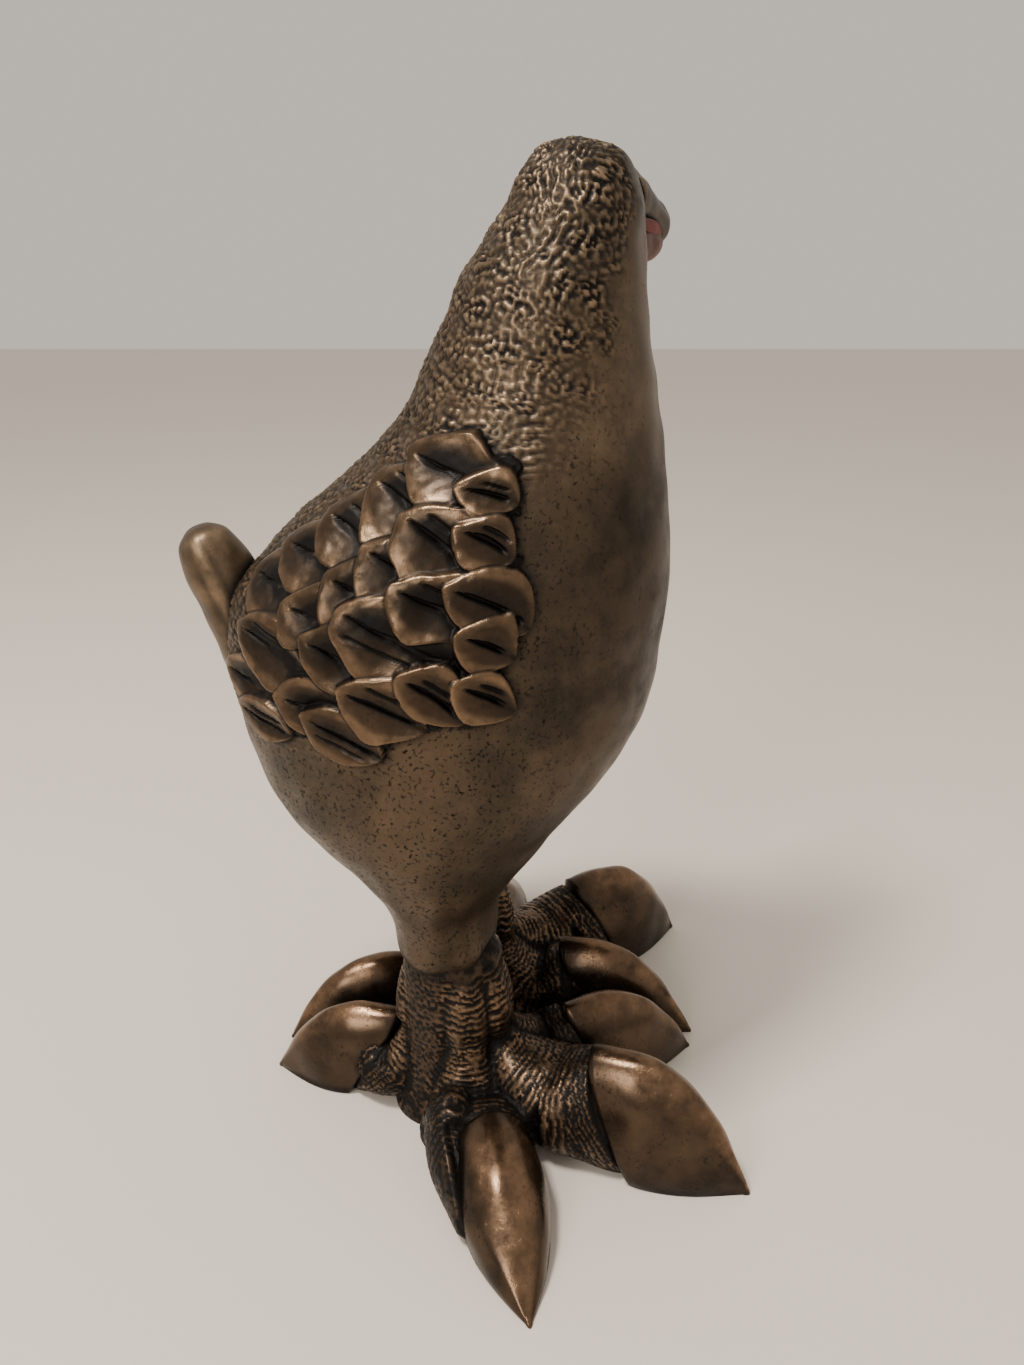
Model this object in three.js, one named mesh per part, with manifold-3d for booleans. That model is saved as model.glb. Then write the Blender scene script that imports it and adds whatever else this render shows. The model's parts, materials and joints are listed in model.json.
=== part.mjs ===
// A standing dodo, cast in one piece: pear-shaped body, turned head, leafy wings, stub tail, clawed feet.
// Millimetres. +X is the bird's left side, its breast faces -Y, +Z is up and the soles lie on Z = 0.

import * as THREE from 'three';
import { mergeVertices } from 'three/addons/utils/BufferGeometryUtils.js';
import Module from 'manifold-3d';

// Overall
const HEIGHT = 360; // sole to crown
const LEG_HEIGHT = 72; // sole to the crease under the body
const BODY_HEIGHT = HEIGHT - LEG_HEIGHT;

// Legs and feet
const LEG_SPREAD = 60; // between the two leg axes
const LEG_WIDTH = 31; // across one leg, side to side
const LEG_DEPTH = 40; // along one leg, back to front
const TENDON_WIDTH = 18; // the ridge that runs down the leg into each toe
const TOE_FOLDS = 4; // folds of skin along a tendon and its toe
const TOE_FOLD_RISE = 1; // how far a fold stands out
const TOE_CENTRE = 0.42; // middle of a toe, as a share of its nail's height
const FOOT_REACH = 123; // leg axis to the point of the longest nail
const FOOT_TURN = 5; // degrees that the left foot is turned out past the right one

// Tail
const TAIL_LENGTH = 69; // root inside the body to rounded end
const TAIL_WIDTH = 24;
const TAIL_RAKE = 24; // degrees that it leans back from upright

// Wing feathers
const FEATHER_LENGTH = 31;
const FEATHER_WIDTH = 21;
const FEATHER_RISE = 4.6; // rim above the body
const FEATHER_GROOVE = 3; // depth of the groove along the middle
const FEATHER_SLOPE = -25; // degrees, at the flank line
const FEATHER_FAN = 0.2; // degrees that it levels out for each millimetre further back

// Head
const HEAD_TURN = 56; // degrees from straight ahead to the left
const BEAK_LENGTH = 60; // axis of the neck to the end of the hook
const BEAK_WIDTH = 25; // at its root
const BEAK_DEPTH = 27; // jaw to ridge
const EYE_DIAMETER = 11;
const EYE_SPREAD = 42; // degrees between the beak and each eye
const EYE_SINK = 0.87; // eye centres, as a share of the way from the neck's axis to its skin

// Mesh fineness
const BODY_SIDES = 26;
const BODY_RINGS = 24;
const LIMB_SIDES = 8;
const CLAW_RINGS = 5;
const CORE_SIDES = 12;
const PAD_RINGS = 5;
const BEAK_SIDES = 10;
const BEAK_RINGS = 7;
const TAIL_RINGS = 8;

// Free form, in thousandths of the body height: level above the crease, back, breast and half width
const BODY_SECTIONS = [
    [-50, -120, -92, 10], [-45, -140, -62, 60], [-28, -152, -40, 118], [4, -160, -21, 156],
    [39, -168, -19, 164], [76, -185, -8, 172], [111, -212, 15, 186], [146, -242, 44, 200],
    [182, -280, 71, 212], [218, -311, 102, 222], [254, -331, 131, 230], [316, -349, 168, 236],
    [375, -360, 186, 238], [431, -362, 192, 235], [488, -351, 198, 230], [531, -316, 198, 219],
    [584, -264, 194, 201], [631, -205, 189, 184], [678, -155, 182, 166], [722, -121, 174, 150],
    [768, -100, 166, 136], [812, -78, 159, 126], [856, -59, 154, 115], [898, -30, 151, 102],
    [931, -8, 148, 92], [958, 5, 140, 79], [978, 19, 129, 60], [991, 34, 111, 34], [1000, 69, 74, 4],
];
const LEG_AHEAD = -80; // leg axes, ahead of the upright line that the sections are drawn about
const TAIL_ROOT = [-299, 347]; // ahead, level
const NECK_AXIS = 69; // ahead
const MOUTH_DROP = 81; // mouth line, below the crown
const EYE_DROP = 59; // eyes, below the crown
const MOUTH_LEVEL = BODY_SECTIONS.at(-1)[0] - MOUTH_DROP;
const EYE_LEVEL = BODY_SECTIONS.at(-1)[0] - EYE_DROP;

// Rows of feathers in the same measure: the first one's girth ahead of the flank line and its level, how
// many there are, and the step to the next
const FEATHER_ROWS = [
    { first: [-80, 663], count: 5, step: [-40, -33] },
    { first: [-7, 642], count: 6, step: [-40, -35] },
    { first: [10, 594], count: 1, step: [0, 0] },
    { first: [17, 545], count: 6, step: [-46, -26] },
    { first: [-160, 406], count: 1, step: [0, 0] },
    { first: [38, 490], count: 4, step: [-44, -36] },
    { first: [45, 434], count: 1, step: [0, 0] },
];

// The right foot's toes, in thousandths of the foot's reach, ahead of the leg axis and in from it: where
// the nail starts, its point, its height, width and lean back there, and then how full its ridge and its
// plan stay towards the point. They are the middle, outer, inner and hind toe
const TOE_SHARES = [
    { root: [593, -268], point: [911, -407], height: 382, width: 252, lean: 179, ridge: 2.4, plan: 1.6 },
    { root: [130, -358], point: [236, -837], height: 244, width: 260, lean: 41, ridge: 1.6, plan: 2.5 },
    { root: [504, 122], point: [829, 244], height: 317, width: 211, lean: 154, ridge: 2.3, plan: 1.7 },
    { root: [-358, 106], point: [-634, 146], height: 293, width: 203, lean: 179, ridge: 2.3, plan: 1.7 },
];

// The roll of flesh behind the outer nail in the same measure: ahead, in, up, half width and half height
const PAD_SHARES = [
    [-16, -179, 130, 81, 114], [0, -358, 81, 73, 81], [33, -504, 49, 57, 57], [89, -650, 24, 33, 33],
];

const wasm = await Module();
wasm.setup();

const radians = THREE.MathUtils.degToRad;
const place = (ahead, aside, up) => new THREE.Vector3(aside, -ahead, up);
const level = (share) => LEG_HEIGHT + share * BODY_HEIGHT / 1000;
const reach = (share) => share * BODY_HEIGHT / 1000;
const ofFoot = (share) => share * FOOT_REACH / 1000;
const around = (sides, corner) => Array.from({ length: sides }, (_, k) => corner(2 * Math.PI * k / sides));

const TOES = TOE_SHARES.map(({ root, point, height, width, lean, ridge, plan }) => ({
    root: root.map(ofFoot),
    point: point.map(ofFoot),
    height: ofFoot(height),
    width: ofFoot(width),
    lean: ofFoot(lean),
    ridge,
    plan,
}));

// Smooth curve through rows of numbers, t from 0 to 1
function smooth(rows, t) {
    const last = rows.length - 1;
    const at = Math.min(t * last, last - 1e-9);
    const i = Math.floor(at);
    const f = at - i;
    const [a, b, c, d] = [rows[Math.max(i - 1, 0)], rows[i], rows[i + 1], rows[Math.min(i + 2, last)]];
    return b.map((value, k) => {
        const start = (c[k] - a[k]) / 2;
        const end = (d[k] - value) / 2;
        const rise = c[k] - value;
        return value + f * (start + f * (3 * rise - 2 * start - end + f * (start + end - 2 * rise)));
    });
}

// Manifold solid of a closed geometry
function toSolid(geometry) {
    geometry.deleteAttribute('normal');
    geometry.deleteAttribute('uv');
    const merged = mergeVertices(geometry);
    return new wasm.Manifold(new wasm.Mesh({
        numProp: 3,
        vertProperties: new Float32Array(merged.attributes.position.array),
        triVerts: new Uint32Array(merged.index.array),
    }));
}

// Closed solid through rings that all have the same number of points, its ends closed to their middles
function loft(rings) {
    const sides = rings[0].length;
    const points = rings.flat();
    const faces = [];
    for (let start = 0; start < points.length - sides; start += sides) {
        for (let k = 0; k < sides; k += 1) {
            const [a, b] = [start + k, start + (k + 1) % sides];
            faces.push([a, b, b + sides], [a, b + sides, a + sides]);
        }
    }
    const top = points.length - sides;
    const middle = (ring) => ring.reduce((sum, p) => sum.add(p), new THREE.Vector3()).divideScalar(sides);
    points.push(middle(rings[0]), middle(rings.at(-1)));
    for (let k = 0; k < sides; k += 1) {
        const next = (k + 1) % sides;
        faces.push([next, k, points.length - 2], [top + k, top + next, points.length - 1]);
    }
    const volume = faces.reduce((sum, [a, b, c]) => sum
        + points[a].dot(new THREE.Vector3().crossVectors(points[b], points[c])), 0);
    const outward = volume > 0 ? faces : faces.map(([a, b, c]) => [a, c, b]);
    return toSolid(new THREE.BufferGeometry().setFromPoints(points).setIndex(outward.flat()));
}

// Body, neck and head in one skin
function body() {
    return loft(Array.from({ length: BODY_RINGS + 1 }, (_, r) => {
        const [up, back, breast, half] = smooth(BODY_SECTIONS, r / BODY_RINGS);
        return around(BODY_SIDES, (turn) => place(
            reach((breast + back) / 2 + (breast - back) / 2 * Math.cos(turn)),
            reach(half * Math.sin(turn)), level(up)));
    }));
}

// The skin's middle, half depth and half width at a level, from sections a hair apart
const SKIN = Array.from({ length: 400 }, (_, i) => smooth(BODY_SECTIONS, i / 399));

function skinAt(up) {
    const above = Math.max(SKIN.findIndex(([at]) => at > up), 1);
    const [lower, upper] = [SKIN[above - 1], SKIN[above]];
    const share = (up - lower[0]) / (upper[0] - lower[0]);
    const between = lower.map((value, k) => THREE.MathUtils.lerp(value, upper[k], share));
    const [, back, breast, half] = between.map(reach);
    return { middle: (breast + back) / 2, depth: (breast - back) / 2, half };
}

// A point over the body's side, by its girth ahead of the flank line, its level and its lift off the skin
function onFlank(girth, up, lift, side) {
    const { middle, depth, half } = skinAt(up);
    const turn = girth / ((depth + half) / 2);
    const skin = place(middle + depth * Math.sin(turn), side * half * Math.cos(turn), level(up));
    const out = place(Math.sin(turn) / depth, side * Math.cos(turn) / half, 0).normalize();
    return skin.addScaledVector(out, lift);
}

// Tube through rows of ahead, aside, up, half width and half depth, every second ring raised by the fold
function limb(rows, rings, fold) {
    const spine = (t) => place(...smooth(rows, t));
    const across = new THREE.Vector3(0, 0, 1).cross(spine(1).sub(spine(0))).normalize();
    return loft(Array.from({ length: rings + 1 }, (_, r) => {
        const t = r / rings;
        const along = spine(Math.min(t + 0.01, 1)).sub(spine(Math.max(t - 0.01, 0))).normalize();
        const over = new THREE.Vector3().crossVectors(along, across);
        const [half, deep] = smooth(rows, t).slice(3).map((size) => size + (r % 2) * fold);
        return around(LIMB_SIDES, (turn) => spine(t)
            .addScaledVector(across, half * Math.cos(turn))
            .addScaledVector(over, deep * Math.sin(turn)));
    }));
}

// Nail with a rounded ridge, upright sides and a low point
function claw(root, point, { height, width, lean, ridge, plan }) {
    const [across, away] = [point[1] - root[1], point[0] - root[0]];
    const length = Math.hypot(across, away);
    const spot = (along, beside, up) => place(
        root[0] + (away * along - across * beside) / length,
        root[1] + (across * along + away * beside) / length, up);
    const arch = [[-1, -0.1], [-1.02, 0.35], [-0.83, 0.7], [-0.34, 0.96],
        [0.34, 0.96], [0.83, 0.7], [1.02, 0.35], [1, -0.1]];
    return loft(Array.from({ length: CLAW_RINGS + 1 }, (_, r) => {
        const t = 1 - (1 - r / CLAW_RINGS) ** 1.3;
        const swell = 1 + 0.1 * Math.sin(Math.PI * t);
        const half = width / 2 * swell * Math.max(1 - t ** plan, 0.08);
        const top = height * swell * Math.max(1 - t ** ridge, 0.07);
        const back = lean * (1 - t) ** 2;
        return arch.map(([beside, up]) => spot(t * length - back * up, beside * half, up * top));
    }));
}

// One leg with its toes: side is -1 for the right one and 1 for the left one
function leg(side) {
    const turn = radians(side > 0 ? FOOT_TURN : 0);
    const onFoot = (ahead, inward) => [
        reach(LEG_AHEAD) + ahead * Math.cos(turn) + side * inward * Math.sin(turn),
        side * (LEG_SPREAD / 2 - inward * Math.cos(turn)) + ahead * Math.sin(turn),
    ];
    const [ahead, aside] = onFoot(0, 0);
    const pad = limb(PAD_SHARES.map((row) => row.map(ofFoot)).map(([along, inward, ...rest]) => [
        ...onFoot(along, inward), ...rest]), PAD_RINGS, 0);
    const core = loft([1.2, 1.08, 1, 1, 0.95].map((girth, r) => around(CORE_SIDES, (angle) => place(
        ahead + LEG_DEPTH / 2 * girth * Math.cos(angle),
        aside + LEG_WIDTH / 2 * girth * Math.sin(angle),
        LEG_HEIGHT * [-0.05, 0.2, 0.45, 0.9, 1.15][r]))));
    return [core, pad, ...TOES.flatMap((toe) => {
        const length = Math.hypot(...toe.root);
        const [u, v] = [toe.root[0] / length, toe.root[1] / length];
        const down = (share, up, girth) => [
            ...onFoot(u * LEG_DEPTH / 2 * share, v * LEG_WIDTH / 2 * share),
            LEG_HEIGHT * up, girth * TENDON_WIDTH / 2, girth * TENDON_WIDTH / 2,
        ];
        const out = (share, girth, rise) => [
            ...onFoot(toe.root[0] * share, toe.root[1] * share),
            toe.height * TOE_CENTRE, girth * toe.width / 2, rise * toe.height * (1 - TOE_CENTRE),
        ];
        const tendon = limb([down(0.7, 0.98, 0.84), down(0.75, 0.72, 1), down(0.86, 0.45, 1.04),
            out(0.52, 1.4, 0.62), out(0.78, 1.26, 0.86), out(1.02, 1.06, 0.97)],
        2 * TOE_FOLDS, TOE_FOLD_RISE);
        return [tendon, claw(onFoot(...toe.root), onFoot(...toe.point), toe)];
    })];
}

// Stub tail, widest at its root and round at its end
function tail() {
    const lean = radians(TAIL_RAKE);
    const taper = [[0, 1.35], [0.3, 1.25], [0.55, 1.1], [0.78, 1.02], [0.92, 0.8], [0.985, 0.4], [1, 0.08]];
    const rows = taper.map(([share, girth]) => [
        reach(TAIL_ROOT[0]) - share * TAIL_LENGTH * Math.sin(lean), 0,
        level(TAIL_ROOT[1]) + share * TAIL_LENGTH * Math.cos(lean),
        girth * TAIL_WIDTH / 2, girth * TAIL_WIDTH / 2,
    ]);
    return limb(rows, TAIL_RINGS, 0);
}

// Leaf-shaped feather bent onto the body: thick rim, dished sides and a groove along the middle
function feather([girth, up], side) {
    const slope = radians(FEATHER_SLOPE - FEATHER_FAN * reach(girth));
    const outline = [[-0.5, 0.35], [-0.25, 1], [0.22, 0.9], [0.5, 0.2]];
    return loft(outline.map(([share, half]) => {
        const rim = FEATHER_RISE * (1 - 0.75 * Math.max(share, 0));
        const trough = rim - FEATHER_GROOVE * Math.min(share + 0.5, 0.6) / 0.6;
        const profile = [[-1, -rim / 2], [-0.8, rim], [0, trough], [0.8, rim], [1, -rim / 2]];
        return profile.map(([beside, lift]) => {
            const along = share * FEATHER_LENGTH;
            const across = beside * half * FEATHER_WIDTH / 2;
            return onFlank(
                reach(girth) + along * Math.cos(slope) - across * Math.sin(slope),
                up + (along * Math.sin(slope) + across * Math.cos(slope)) * 1000 / BODY_HEIGHT, lift, side);
        });
    }));
}

function wing(side) {
    return FEATHER_ROWS.flatMap(({ first, count, step }) => Array.from({ length: count }, (_, n) => feather(
        [first[0] + n * step[0], first[1] + n * step[1]], side)));
}

// Half of the beak through rows of reach, rise from the mouth line, half width and half depth, as shares
// of the beak's own length, depth and width
function mandible(rows) {
    const turn = radians(HEAD_TURN);
    return loft(Array.from({ length: BEAK_RINGS + 1 }, (_, r) => {
        const [out, rise, half, tall] = smooth(rows, r / BEAK_RINGS);
        return around(BEAK_SIDES, (angle) => {
            const [ahead, across] = [out * BEAK_LENGTH, half * BEAK_WIDTH * Math.cos(angle)];
            return place(
                reach(NECK_AXIS) + ahead * Math.cos(turn) - across * Math.sin(turn),
                ahead * Math.sin(turn) + across * Math.cos(turn),
                level(MOUTH_LEVEL) + BEAK_DEPTH * (rise + tall * Math.sin(angle)));
        });
    }));
}

function beak() {
    return [
        mandible([[0.1, 0.3, 0.5, 0.42], [0.4, 0.29, 0.5, 0.39], [0.6, 0.2, 0.43, 0.32],
            [0.78, 0.09, 0.35, 0.27], [0.9, 0.01, 0.32, 0.25], [0.97, -0.07, 0.24, 0.21],
            [1, -0.13, 0.08, 0.1]]),
        mandible([[0.1, -0.26, 0.46, 0.36], [0.4, -0.24, 0.46, 0.33], [0.62, -0.24, 0.4, 0.3],
            [0.78, -0.26, 0.33, 0.27], [0.88, -0.26, 0.24, 0.2], [0.93, -0.24, 0.06, 0.05]]),
    ];
}

function eye(side) {
    const turn = radians(HEAD_TURN + side * EYE_SPREAD);
    const { middle, depth, half } = skinAt(EYE_LEVEL);
    const at = place(
        middle + depth * EYE_SINK * Math.cos(turn), half * EYE_SINK * Math.sin(turn), level(EYE_LEVEL));
    return toSolid(new THREE.SphereGeometry(EYE_DIAMETER / 2, 9, 6).translate(...at.toArray()));
}

// Everything joined, cut level at the soles and centred on its footprint
function sculpture() {
    const sides = [-1, 1];
    const paired = [leg, wing, eye].flatMap((make) => sides.flatMap(make));
    const pieces = [body(), tail(), ...beak(), ...paired];
    const ground = new THREE.BoxGeometry(2 * HEIGHT, 2 * HEIGHT, HEIGHT).translate(0, 0, -HEIGHT / 2);
    const whole = pieces.reduce((joined, piece) => joined.add(piece)).subtract(toSolid(ground));
    const { vertProperties, triVerts } = whole.getMesh();
    const geometry = new THREE.BufferGeometry();
    geometry.setAttribute('position', new THREE.BufferAttribute(new Float32Array(vertProperties), 3));
    geometry.setIndex(new THREE.BufferAttribute(new Uint32Array(triVerts), 1));
    geometry.computeBoundingBox();
    const { min, max } = geometry.boundingBox;
    geometry.translate(-(min.x + max.x) / 2, -(min.y + max.y) / 2, -min.z);
    geometry.computeVertexNormals();
    return geometry;
}

const bronze = new THREE.MeshStandardMaterial({ color: 0x5c4331, roughness: 0.45, metalness: 0.7 });
const dodo = new THREE.Mesh(sculpture(), bronze);
dodo.name = 'dodo_sculpture';

const group = new THREE.Group();
group.add(dodo);

export default group;
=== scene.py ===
# %% [markdown]
# A dodo cast in one piece, with a bronze patina: nubbly hood and back, smooth breast, leafy wings,
# ribbed legs and big polished nails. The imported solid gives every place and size. Each cell below
# adds one piece of the finished surface over it.

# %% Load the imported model
import json
import math

import bpy
import numpy as np
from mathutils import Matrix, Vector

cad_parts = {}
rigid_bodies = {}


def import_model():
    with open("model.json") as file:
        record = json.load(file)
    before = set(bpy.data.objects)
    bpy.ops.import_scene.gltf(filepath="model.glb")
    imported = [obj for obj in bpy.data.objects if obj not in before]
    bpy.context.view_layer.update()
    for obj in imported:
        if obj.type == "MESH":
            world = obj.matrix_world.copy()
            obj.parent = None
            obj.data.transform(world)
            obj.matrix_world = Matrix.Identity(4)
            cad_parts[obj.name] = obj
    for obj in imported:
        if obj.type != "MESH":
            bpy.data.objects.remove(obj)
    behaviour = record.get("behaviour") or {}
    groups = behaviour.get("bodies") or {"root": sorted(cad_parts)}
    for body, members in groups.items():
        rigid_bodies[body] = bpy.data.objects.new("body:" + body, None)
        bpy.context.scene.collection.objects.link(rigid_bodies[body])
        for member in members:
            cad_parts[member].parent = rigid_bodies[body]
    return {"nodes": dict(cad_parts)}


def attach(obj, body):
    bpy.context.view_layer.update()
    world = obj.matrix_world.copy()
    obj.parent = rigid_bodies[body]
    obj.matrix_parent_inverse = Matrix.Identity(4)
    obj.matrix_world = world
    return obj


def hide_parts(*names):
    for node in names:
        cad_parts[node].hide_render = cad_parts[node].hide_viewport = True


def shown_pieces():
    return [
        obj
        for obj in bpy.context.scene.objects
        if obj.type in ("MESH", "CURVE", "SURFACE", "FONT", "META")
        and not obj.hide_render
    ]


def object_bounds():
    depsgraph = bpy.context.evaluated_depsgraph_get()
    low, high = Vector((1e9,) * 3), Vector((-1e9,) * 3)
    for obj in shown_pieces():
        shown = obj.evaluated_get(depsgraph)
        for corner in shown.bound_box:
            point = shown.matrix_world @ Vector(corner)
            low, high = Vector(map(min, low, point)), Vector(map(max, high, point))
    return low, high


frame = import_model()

cad_box = [list(map(float, corner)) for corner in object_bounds()]
NODE = "dodo_sculpture"
MM = 0.001
HEIGHT = cad_box[1][2] - cad_box[0][2]
LEG_HEIGHT = 0.2 * HEIGHT
BODY_HEIGHT = HEIGHT - LEG_HEIGHT
SIDES = ((-1, "right"), (1, "left"))
print("CAD box", cad_box)

# %% [markdown]
# The bird was carved about an upright line through its crown, but the frame is centred on its feet.
# The line could be typed in as a number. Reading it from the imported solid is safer: the highest
# corners of the mesh stand round the crown, a known way ahead of the line.

# %% Where the bird's upright line stands
CROWN_AHEAD = 0.0715 * BODY_HEIGHT
corners = np.array([tuple(v.co) for v in frame["nodes"][NODE].data.vertices])
crown = corners[corners[:, 2] > HEIGHT - 0.1 * MM].mean(axis=0)
AXIS = np.array([crown[0], crown[1] + CROWN_AHEAD, 0.0])
print("upright line at", AXIS.round(5))

# %% [markdown]
# Three small helpers do the shaping. A smooth curve through rows of numbers is the carver's profile.
# A place is said as ahead of the line, aside from it and up. And every rounded form starts as a UV
# sphere, whose closed skin is then pressed to a form: clay is worked the same way, and no pole or
# seam is left open. Extruding ring by ring would give the same rings but needs closing at both ends.


# %% Profiles, places and pressed forms
def smooth(rows, t):
    rows = np.asarray(rows, float)
    last = len(rows) - 1
    at = np.clip(np.asarray(t, float) * last, 0, last - 1e-9)
    i = np.floor(at).astype(int)
    f = (at - i)[..., None]
    a, b = rows[np.maximum(i - 1, 0)], rows[i]
    c, d = rows[i + 1], rows[np.minimum(i + 2, last)]
    start, end, rise = (c - a) / 2, (d - b) / 2, c - b
    return b + f * (start + f * (3 * rise - 2 * start - end + f * (start + end - 2 * rise)))


def place(ahead, aside, up):
    ahead, aside, up = np.broadcast_arrays(ahead, aside, up)
    return np.stack([aside, -ahead, up], axis=-1) + AXIS


def share(value):
    return np.asarray(value, float) * BODY_HEIGHT / 1000


def level(value):
    return LEG_HEIGHT + share(value)


def get(obj, what="co"):
    found = np.empty(len(obj.data.vertices) * 3)
    obj.data.vertices.foreach_get(what, found)
    return found.reshape(-1, 3)


def put(obj, points):
    obj.data.vertices.foreach_set("co", np.asarray(points, np.float32).ravel())
    obj.data.update()


def paint(obj, name, values):
    layer = obj.data.attributes.get(name) or obj.data.attributes.new(name, "FLOAT", "POINT")
    layer.data.foreach_set("value", np.asarray(values, np.float32))


def pick(*objs):
    bpy.ops.object.select_all(action="DESELECT")
    for obj in objs:
        obj.select_set(True)
    bpy.context.view_layer.objects.active = objs[0]


def newest(name):
    """The object that the last operator made, under its own name."""
    obj = bpy.context.object
    obj.name = obj.data.name = name
    return obj


def press(name, segments, rings, form):
    """A closed piece from a sphere: form gives its points, and may add recess and ridge masks."""
    bpy.ops.object.select_all(action="DESELECT")
    bpy.ops.mesh.primitive_uv_sphere_add(segments=segments, ring_count=rings, radius=1)
    obj = newest(name)
    ball = get(obj)
    turn = np.arctan2(ball[:, 1], ball[:, 0])
    t = 1 - np.arccos(np.clip(ball[:, 2], -1, 1)) / math.pi
    found = form(turn, t)
    points, masks = found if isinstance(found, tuple) else (found, {})
    put(obj, points)
    for mask, values in masks.items():
        paint(obj, mask, values)
    outward(obj)
    bpy.ops.object.shade_smooth()
    return obj


def outward(obj):
    pick(obj)
    bpy.ops.object.mode_set(mode="EDIT")
    bpy.ops.mesh.select_all(action="SELECT")
    bpy.ops.mesh.normals_make_consistent(inside=False)
    bpy.ops.object.mode_set(mode="OBJECT")


def join(name, parts):
    pick(*parts)
    bpy.ops.object.join()
    return newest(name)


def modify(obj, kind, **settings):
    pick(obj)
    modifier = obj.modifiers.new(kind.title(), kind)
    for key, value in settings.items():
        setattr(modifier, key, value)
    bpy.ops.object.modifier_apply(modifier=modifier.name)


# %% [markdown]
# Skin relief. Worm-like ridges a few millimetres apart cover the hood and back. A noise texture gives
# blobs of every size, and real ones are all alike in width. Many plane waves of one length, each
# felt only where it runs along the skin, add up to just such even, wandering ridges. The relief moves
# real points, so it also shows on the outline.


# %% Waves of one length over a skin, and its masks
def ripples(points, normals, length, seed, count=90, spread=0.3):
    rng = np.random.default_rng(seed)
    ways = rng.normal(size=(count, 3))
    ways /= np.linalg.norm(ways, axis=1, keepdims=True)
    total = np.zeros(len(points))
    power = np.full(len(points), 1e-6)
    for way, phase in zip(ways, rng.uniform(0, 2 * math.pi, count)):
        weight = np.exp(-((normals @ way) / spread) ** 2)
        total += weight * np.cos(points @ way * (2 * math.pi / length) + phase)
        power += weight**2 / 2
    return total / np.sqrt(power)


def neighbours(obj, values, rounds=1):
    edges = np.empty(len(obj.data.edges) * 2, int)
    obj.data.edges.foreach_get("vertices", edges)
    a, b = edges.reshape(-1, 2).T
    counts = np.bincount(np.concatenate([a, b]), minlength=len(values)).astype(float)
    values = np.asarray(values, float)
    flat = values.reshape(len(values), -1)
    for _ in range(rounds):
        mean = np.stack([np.bincount(a, col[b], len(col)) + np.bincount(b, col[a], len(col))
                         for col in flat.T], axis=1) / counts[:, None]
        flat = (flat + mean) / 2
    return flat.reshape(values.shape)


def masks(obj, recess, ridge):
    paint(obj, "recess", np.clip(recess, 0, 1))
    paint(obj, "ridge", np.clip(ridge, 0, 1))


def hollows(obj, rounds, size):
    """How far each point lies under its smoothed surroundings, in units of size: hollow is positive."""
    points = get(obj)
    sunk = np.einsum("ij,ij->i", neighbours(obj, points, rounds) - points, get(obj, "normal"))
    return sunk / size


def step(low, high, values):
    """A soft step from 0 at low to 1 at high, which may lie below low."""
    part = np.clip((values - low) / (high - low), 0, 1)
    return part * part * (3 - 2 * part)


def uneven(obj, *waves):
    """Push the skin in and out by waves of a length and a height, none of it below the floor."""
    points, normals = get(obj), get(obj, "normal")
    lift = sum(ripples(points, normals, length, seed) * height for length, height, seed in waves)
    moved = points + normals * (lift * np.clip(points[:, 2] / (3 * MM), 0, 1))[:, None]
    moved[:, 2] = np.maximum(moved[:, 2], 0)
    put(obj, moved)


def cast(obj):
    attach(obj, "root")
    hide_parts(NODE)
    print(obj.name, len(obj.data.polygons), "faces")
    return obj


# %% [markdown]
# Body, neck and head are one skin. The sections give level, back, breast and half width in thousandths
# of the body's height. The pressed sphere gets a ring every millimetre, fine enough for the ridges.

# %% Body sections
SECTIONS = [
    [-50, -110, -96, 8], [-45, -128, -72, 50], [-28, -143, -46, 112], [4, -160, -21, 156],
    [39, -168, -19, 164], [76, -185, -8, 172], [111, -212, 15, 186], [146, -242, 44, 200],
    [182, -280, 71, 212], [218, -311, 102, 222], [254, -331, 131, 230], [316, -349, 168, 236],
    [375, -360, 186, 238], [431, -362, 192, 235], [488, -351, 198, 230], [531, -316, 198, 219],
    [584, -264, 194, 201], [631, -205, 189, 184], [678, -155, 182, 166], [722, -121, 174, 150],
    [768, -100, 166, 136], [812, -78, 159, 126], [856, -59, 154, 115], [898, -30, 151, 102],
    [931, -8, 148, 92], [958, 5, 140, 79], [978, 19, 129, 60], [991, 34, 111, 34], [1000, 69, 74, 4],
]
SKIN = smooth(SECTIONS, np.linspace(0, 1, 600))
HEAD_TURN = math.radians(56)
NECK_AHEAD = share(69)
MOUTH = level(919)
FINE_FROM = 320  # the level, in thousandths, where the ridges start
COARSE = 0.35  # how close the rings below it lie, as a share of those above
BACK_CROWD = 0.35
BASE_SQUARE = 0.28


def section(up):
    back, breast, half = (share(np.interp(up, SKIN[:, 0], SKIN[:, k])) for k in (1, 2, 3))
    return (breast + back) / 2, (breast - back) / 2, half


arc = np.hypot(np.diff(SKIN[:, 0]), np.diff(SKIN[:, 3]))
PATH = np.concatenate([[0], np.cumsum(np.where(SKIN[1:, 0] > FINE_FROM, 1, COARSE) * arc)])


def body_form(turn, t):
    """Rings lie closer over the hood, and so do the points round the back."""
    along = np.interp(t * PATH[-1], PATH, np.linspace(0, 1, len(PATH)))
    up, back, breast, half = smooth(SECTIONS, along).T
    turn = turn + BACK_CROWD * np.sin(turn)
    middle, depth = (breast + back) / 2, (breast - back) / 2
    full = 1 - BASE_SQUARE * step(95, 10, up)
    ahead, aside = (np.sign(wave) * np.abs(wave) ** full for wave in (np.cos(turn), np.sin(turn)))
    return place(share(middle + depth * ahead), share(half * aside), level(up))
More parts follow.
